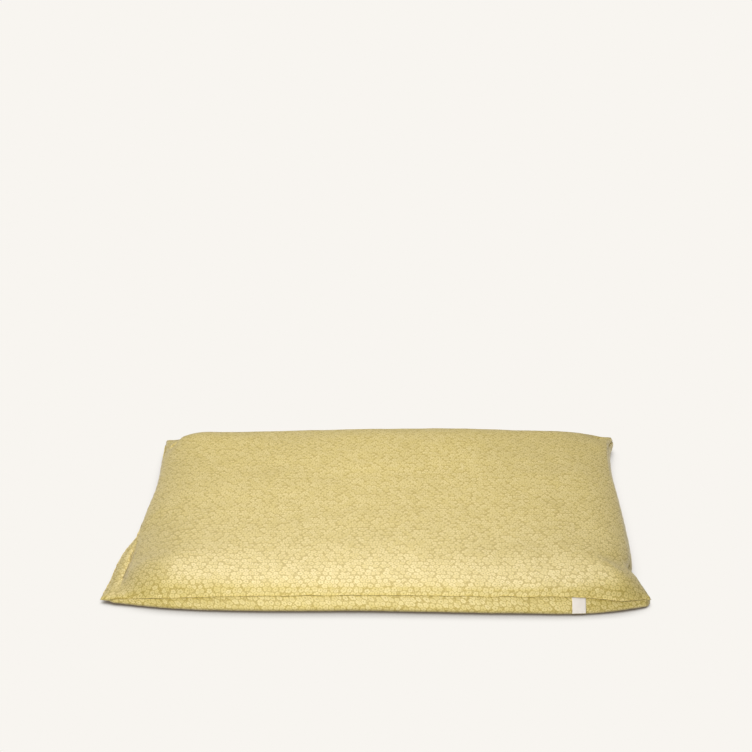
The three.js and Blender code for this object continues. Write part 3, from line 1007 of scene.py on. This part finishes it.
def printed_cotton():
    """The cover's cotton: its print, its uneven tone, painted shade where something stands close over
    it, its weave and its slight sheen.
    """
    graph = Graph("small_blossom_cotton")
    surface = graph.surface.inputs
    cloth = cloth_places(graph)
    petals, lines, tint = blossoms(graph, cloth)
    petal = graph.mix(tint, PRINT["petal"], PRINT["petal_other"])
    printed = graph.mix(petals, PRINT["ground"], petal)
    printed = graph.mix(graph.math("MULTIPLY", lines, petals), printed, PRINT["line"])

    weave = weave_height(graph, cloth)
    slub = graph.noise(cloth, SLUBS["scale"], detail=1.0).outputs["Fac"]
    drift = graph.noise(cloth, FADING["scale"], detail=3.0).outputs["Fac"]
    seam = graph.add("ShaderNodeAttribute", attribute_name="seam_distance").outputs["Fac"]
    rubbed = graph.fall(seam, *RUBBED["from_seam"])
    rubbed = graph.math("MULTIPLY", rubbed, graph.noise(cloth, RUBBED["scale"]).outputs["Fac"])
    # Painted shade: the base colour is darkened where something stands close over the cloth.
    around = graph.add("ShaderNodeAmbientOcclusion", samples=8)
    around.inputs["Distance"].default_value = PAINTED_HOLLOW_SHADE["reach"]
    open_air = graph.step(around.outputs["AO"], *PAINTED_HOLLOW_SHADE["range"])
    # The print is multiplied by its random drift and slubs, its weave, its wear by the seam and this
    # painted shade.
    shade = 1.0
    for part in (
        graph.between(drift, *FADING["shades"]),
        graph.between(slub, *SLUBS["shades"]),
        graph.math("MULTIPLY_ADD", weave, WEAVE["shade"], 1.0),
        graph.math("MULTIPLY_ADD", rubbed, RUBBED["shade"], 1.0),
        graph.between(open_air, PAINTED_HOLLOW_SHADE["darkest"], 1.0),
    ):
        shade = graph.math("MULTIPLY", shade, part)
    grey = graph.wired(graph.add("ShaderNodeCombineColor"), shade, shade, shade)[0]
    graph.feed(surface["Base Color"], graph.mix(1.0, printed, grey, blend_type="MULTIPLY"))

    petal_part = graph.math("MULTIPLY", petals, COTTON["petal_roughness"])
    rough = graph.math("ADD", graph.between(slub, *SLUBS["roughness"]), petal_part)
    graph.feed(surface["Roughness"], rough)
    height = graph.math("ADD", weave, graph.math("MULTIPLY", slub, SLUBS["height"]))
    fine = graph.bump(height, WEAVE["depth"], WEAVE["strength"])
    crumple = graph.noise(cloth, CRUMPLE["scale"], detail=3.0).outputs["Fac"]
    folds = graph.bump(crumple, CRUMPLE["depth"], CRUMPLE["strength"], under=fine)
    graph.feed(surface["Normal"], folds)
    surface["Specular IOR Level"].default_value = COTTON["specular"]
    surface["Sheen Weight"].default_value = COTTON["sheen"]
    surface["Sheen Roughness"].default_value = COTTON["sheen_roughness"]
    surface["Sheen Tint"].default_value = COTTON["sheen_tint"]
    return graph.material


def sewing_thread():
    """Olive thread, lighter and darker along its twist."""
    graph = Graph("olive_sewing_thread")
    surface = graph.surface.inputs
    place = graph.add("ShaderNodeTexCoord").outputs["Object"]
    twist = graph.noise(place, THREAD["twist"], dimensions="3D").outputs["Fac"]
    graph.feed(surface["Base Color"], graph.mix(twist, THREAD["light"], THREAD["dark"]))
    graph.feed(surface["Roughness"], graph.between(twist, *THREAD["roughness"]))
    graph.feed(surface["Normal"], graph.bump(twist, THREAD["depth"], BUMP_STRENGTH))
    surface["Specular IOR Level"].default_value = THREAD["specular"]
    return graph.material


def label_tape():
    """White woven tape with a fine rib across it and firmer edges, and nothing printed on it."""
    graph = Graph("bare_white_tape")
    surface = graph.surface.inputs
    cloth = cloth_places(graph)
    parts = graph.split(cloth)
    rib = graph.math("SINE", graph.math("MULTIPLY", parts["Y"], 2 * math.pi / RIB["pitch"]))
    warp = graph.math("SINE", graph.math("MULTIPLY", parts["X"], 2 * math.pi / RIB["warp"]))
    other_side = graph.math("SUBTRACT", LABEL["width"] * MM, parts["X"])
    edge = graph.fall(graph.math("MINIMUM", parts["X"], other_side), *RIB["firm_edge"])
    soft = graph.noise(cloth, RIB["soft"], detail=3.0).outputs["Fac"]
    base = graph.mix(soft, RIB["light"], RIB["shade"])
    base = graph.mix(graph.math("MULTIPLY", edge, RIB["edge_share"]), base, RIB["edge"])
    graph.feed(surface["Base Color"], base)
    rib_part, warp_part, edge_part = (
        graph.math("MULTIPLY", part, share) for part, share in zip((rib, warp, edge), RIB["heights"])
    )
    height = graph.math("ADD", graph.math("ADD", rib_part, warp_part), edge_part)
    graph.feed(surface["Normal"], graph.bump(height, RIB["depth"], BUMP_STRENGTH))
    graph.feed(surface["Roughness"], graph.between(soft, *RIB["roughness"]))
    surface["Sheen Weight"].default_value = RIB["sheen"]
    return graph.material


# The floor is evenly bright, with a painted contact shadow where its open sky is less. It lies just
# under the cushion.
FLOOR = {
    "half": 14.0,
    "shade": colour(248, 245, 240),
    "contact_shadow": colour(102, 92, 78),
    "reach": 0.04,
    "lean": (0.0, 0.6, 0.8),
    "range": (0.12, 0.82),
    "sunk": 0.0002,
}
WORLD = {"shade": (1.0, 0.985, 0.96), "strength": 0.01}

# Each lamp's place, what it faces, its size, power and shade.
LAMPS = {
    "front": ((-0.1, -1.2, 0.46), (0, 0, 0), 0.5, 7.5, (1.0, 0.98, 0.96)),
    "over_left": ((-0.4, 0.3, 1.3), (-0.3, 0.2, 0), 0.6, 9.9, (1.0, 0.98, 1.1)),
    "over_right": ((0.3, 0.2, 1.3), (0, 0, 0), 0.6, 8.9, (1.0, 0.975, 1.02)),
}


def pale_floor():
    """An evenly bright studio floor, with painted shadow only where something stands close over it."""
    graph = Graph("pale_floor")
    near = graph.add("ShaderNodeAmbientOcclusion", samples=16)
    near.inputs["Distance"].default_value = FLOOR["reach"]
    graph.feed(near.inputs["Normal"], graph.join(*FLOOR["lean"]))
    open_sky = graph.step(near.outputs["AO"], *FLOOR["range"])
    # Painted contact shadow: the floor's glow is mixed towards a dark colour where its leaned open sky
    # is small.
    shade = graph.mix(open_sky, FLOOR["contact_shadow"], FLOOR["shade"])
    graph.surface.inputs["Base Color"].default_value = (0, 0, 0, 1)
    graph.surface.inputs["Specular IOR Level"].default_value = 0.0
    graph.feed(graph.surface.inputs["Emission Color"], shade)
    graph.surface.inputs["Emission Strength"].default_value = 1.0
    return graph.material


def make_stage():
    """The studio floor, which is stage and not part of the cushion."""
    half = FLOOR["half"]
    corners = [(-half, -half, 0), (half, -half, 0), (half, half, 0), (-half, half, 0)]
    mesh = bpy.data.meshes.new("studio_floor")
    mesh.from_pydata(corners, [], [(0, 1, 2, 3)])
    floor = bpy.data.objects.new("studio_floor", mesh)
    bpy.context.scene.collection.objects.link(floor)
    mesh.materials.append(pale_floor())
    floor.location.z = -FLOOR["sunk"]


def make_lights():
    """A dim studio and three soft lamps: one low in front, two above."""
    world = bpy.data.worlds.new("studio")
    bpy.context.scene.world = world
    world.use_nodes = True
    background = world.node_tree.nodes["Background"]
    background.inputs["Color"].default_value = (*WORLD["shade"], 1)
    background.inputs["Strength"].default_value = WORLD["strength"]
    for name, (place, aim, size, power, shade) in LAMPS.items():
        data = bpy.data.lights.new(name, "AREA")
        data.size = size
        data.energy = power
        data.color = shade
        light = bpy.data.objects.new(name, data)
        light.location = place
        facing = Vector(aim) - Vector(place)
        light.rotation_euler = facing.to_track_quat("-Z", "Y").to_euler()
        light.visible_camera = False
        bpy.context.scene.collection.objects.link(light)


def make_camera():
    """The photograph's view."""
    yaw, pitch, roll = (math.radians(CAMERA[k]) for k in ("yaw", "pitch", "roll"))
    level = math.cos(pitch)
    ahead = Vector((math.sin(yaw) * level, math.cos(yaw) * level, -math.sin(pitch)))
    right = Vector((math.cos(yaw), -math.sin(yaw), 0))
    up = right.cross(ahead)
    c, s = math.cos(roll), math.sin(roll)
    axes = Matrix((c * right + s * up, -s * right + c * up, -ahead)).transposed()
    data = bpy.data.cameras.new("camera")
    data.sensor_width = CAMERA["sensor_mm"]
    data.lens = CAMERA["focal_px"] / CAMERA["picture_px"] * CAMERA["sensor_mm"]
    camera = bpy.data.objects.new("camera", data)
    camera.matrix_world = Matrix.Translation(CAMERA["place"]) @ axes.to_4x4()
    bpy.context.scene.collection.objects.link(camera)
    bpy.context.scene.camera = camera


def set_display():
    """Colours are shown as they are, without a film look."""
    view = bpy.context.scene.view_settings
    view.view_transform = "Standard"
    view.look = "None"
    view.exposure = 0
    view.gamma = 1


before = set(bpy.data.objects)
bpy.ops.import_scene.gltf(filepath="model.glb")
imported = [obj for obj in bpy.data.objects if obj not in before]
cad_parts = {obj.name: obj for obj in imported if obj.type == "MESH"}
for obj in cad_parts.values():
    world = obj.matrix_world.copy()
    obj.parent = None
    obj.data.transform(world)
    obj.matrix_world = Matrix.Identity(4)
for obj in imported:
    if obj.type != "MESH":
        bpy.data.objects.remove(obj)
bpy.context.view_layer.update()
set_display()
make_camera()
make_lights()
make_stage()
shift = row_shift()
lower, s, t = make_pad(shift)
make_label(lower, s, t)
